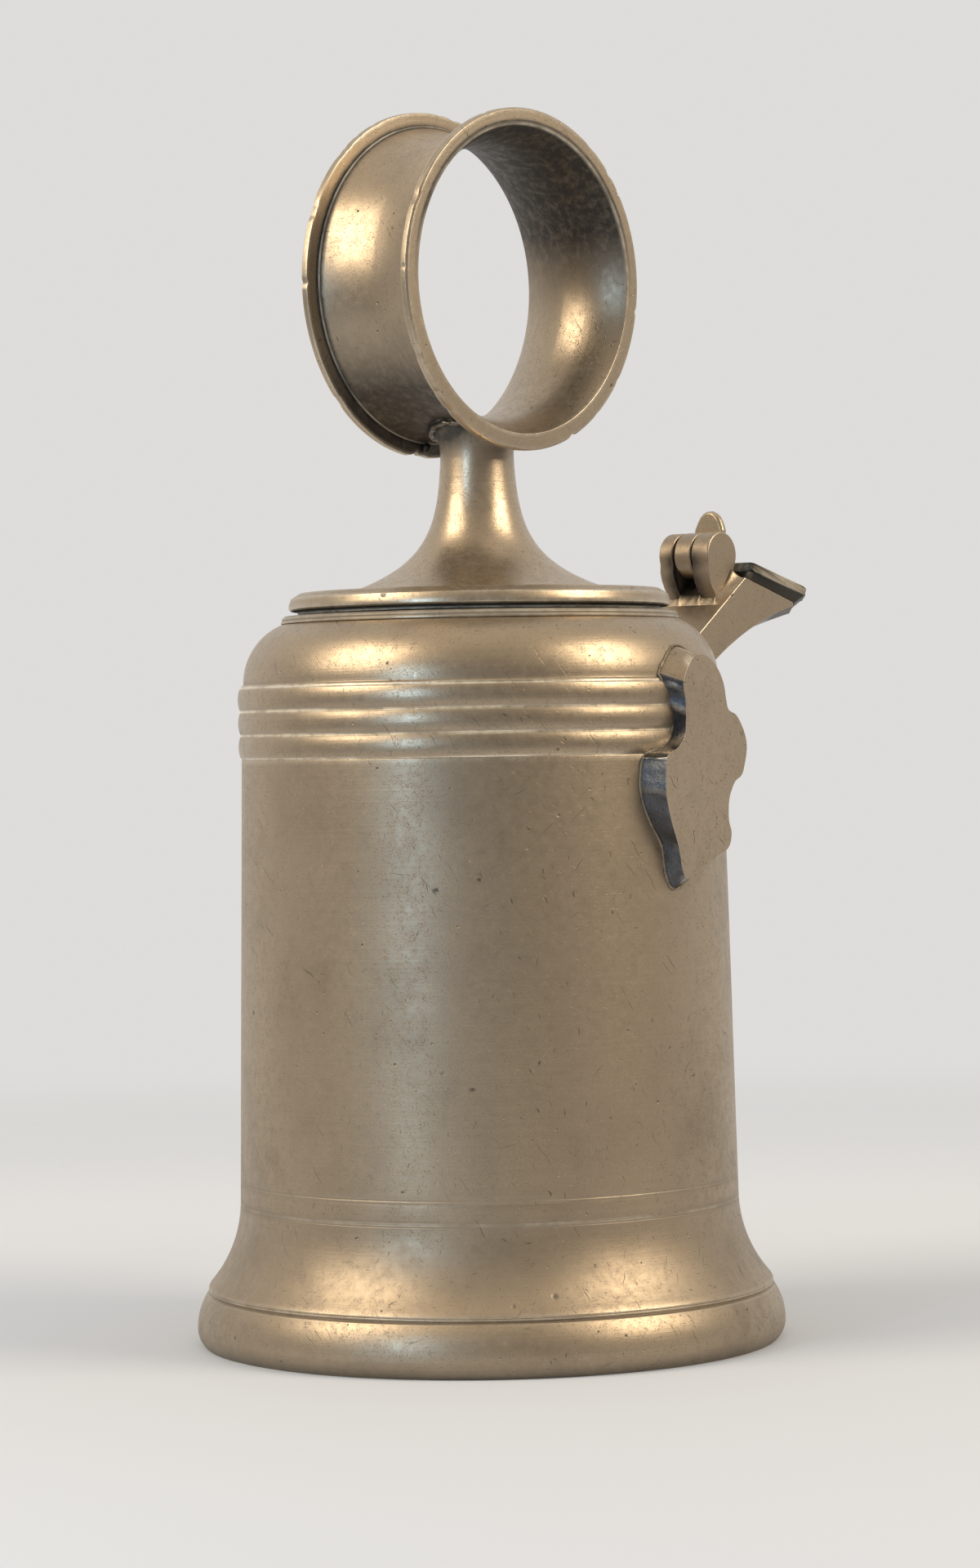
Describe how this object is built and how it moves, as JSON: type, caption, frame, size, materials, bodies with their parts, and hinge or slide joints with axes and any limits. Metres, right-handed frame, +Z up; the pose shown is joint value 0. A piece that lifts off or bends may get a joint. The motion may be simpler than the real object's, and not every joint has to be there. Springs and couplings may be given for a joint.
{
  "type": "flagon",
  "caption": "Bell-shaped pewter flagon with a banded drum, box spout with hinged flap, bare shield plate and a lift-off bayonet lid carried by a ring handle.",
  "frame": {"origin": "on the body's axis, in the plane of the table that the foot ring stands on", "axes": "+Z up along the body's axis, +X along the spout's direction, -Y towards the shield's side"},
  "size_m": [0.2064, 0.1552, 0.3245],
  "materials": {
    "pewter_body": "satin old pewter, warm grey with tarnish",
    "pewter_bright": "handled pewter, worn brighter",
    "pewter_dark": "dull pewter with dark recesses",
    "pin_iron": "dark worn pin"
  },
  "bodies": {
    "flagon": {"foot_ring": "pewter_body", "bottom_disc": "pewter_body", "drum_wall": "pewter_body", "shoulder": "pewter_body", "mouth_collar": "pewter_body", "shield": "pewter_dark", "spout": "pewter_body", "hinge_fork": "pewter_body", "hinge_pin": "pin_iron"},
    "lid": {"lid_plate": "pewter_body", "bayonet_ring": "pewter_dark", "lid_stem": "pewter_bright", "ring_handle": "pewter_bright"},
    "flap": {"flap": "pewter_dark", "thumbpiece": "pewter_bright"}
  },
  "joints": [
    {"name": "lid_lift", "type": "slide", "parent": "flagon", "child": "lid", "axis": [0, 0, 1], "range_m": [0, 0.06]},
    {"name": "flap_hinge", "type": "hinge", "parent": "flagon", "child": "flap", "pos_m": [0.0914, 0, 0.208], "axis": [0, -1, 0], "range_deg": [0, 105]}
  ]
}
